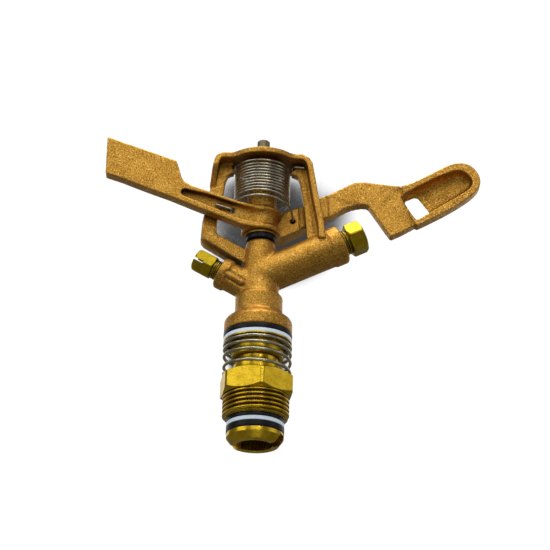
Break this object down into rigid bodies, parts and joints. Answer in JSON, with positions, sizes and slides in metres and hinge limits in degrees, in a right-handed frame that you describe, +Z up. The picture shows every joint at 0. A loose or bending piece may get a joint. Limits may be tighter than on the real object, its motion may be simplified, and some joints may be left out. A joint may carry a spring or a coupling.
{
  "type": "impact sprinkler",
  "caption": "Cast impact sprinkler with a swivelling head, a hexagonal range nozzle, a slotted spreader nozzle and a sprung drive arm on a male inlet thread.",
  "frame": {"origin": "on the swivel axis, at the lower face of the inlet hexagon, where the male thread starts", "axes": "+Z up along the swivel and pivot axis, from the inlet to the pivot pin; +X towards the range nozzle and the spoon of the arm; -X towards the spreader nozzle and the counterweight"},
  "size_m": [0.1538, 0.03, 0.1332],
  "materials": {
    "nipple_brass": "turned and milled, glossy",
    "bearing_brass": "turned, glossy",
    "nozzle_brass": "turned, satin",
    "cast_bronze": "sand cast and tumbled, semi-gloss",
    "spring_steel": "drawn wire",
    "pin_steel": "ground, dull",
    "white_washer": "smooth, slightly waxy",
    "black_washer": "matte"
  },
  "bodies": {
    "inlet": {"inlet_nipple": "nipple_brass", "bearing_spring": "spring_steel"},
    "bearing": {"thrust_washer": "bearing_brass", "upper_ptfe_washer": "white_washer", "upper_rubber_washer": "black_washer"},
    "head": {"body": "cast_bronze", "bearing_tube": "bearing_brass", "lower_rubber_washer_top": "black_washer", "lower_ptfe_washer": "white_washer", "lower_rubber_washer_bottom": "black_washer", "range_nozzle": "nozzle_brass", "spreader_nozzle": "nozzle_brass", "pivot_pin": "pin_steel", "hub_washer_rubber": "black_washer", "hub_washer_brass": "bearing_brass", "top_washer": "black_washer", "arm_spring": "spring_steel"},
    "arm": {"drive_arm": "cast_bronze", "arm_bush_lower": "bearing_brass", "arm_bush_upper": "bearing_brass"}
  },
  "joints": [
    {"name": "bearing_float", "type": "slide", "parent": "inlet", "child": "bearing", "axis": [0, 0, 1], "range_m": [-0.002, 0], "stiffness_N_per_m": 3000, "springref_m": 0.004, "deforming": ["bearing_spring"]},
    {"name": "head_swivel", "type": "hinge", "parent": "bearing", "child": "head", "pos_m": [0, 0, 0.025], "axis": [0, 0, 1], "continuous": true},
    {"name": "arm_swing", "type": "hinge", "parent": "head", "child": "arm", "pos_m": [0, 0, 0.0752], "axis": [0, 0, 1], "range_deg": [0, 110], "stiffness_Nm_per_rad": 0.02, "springref_deg": -28.65, "deforming": ["arm_spring"]}
  ]
}
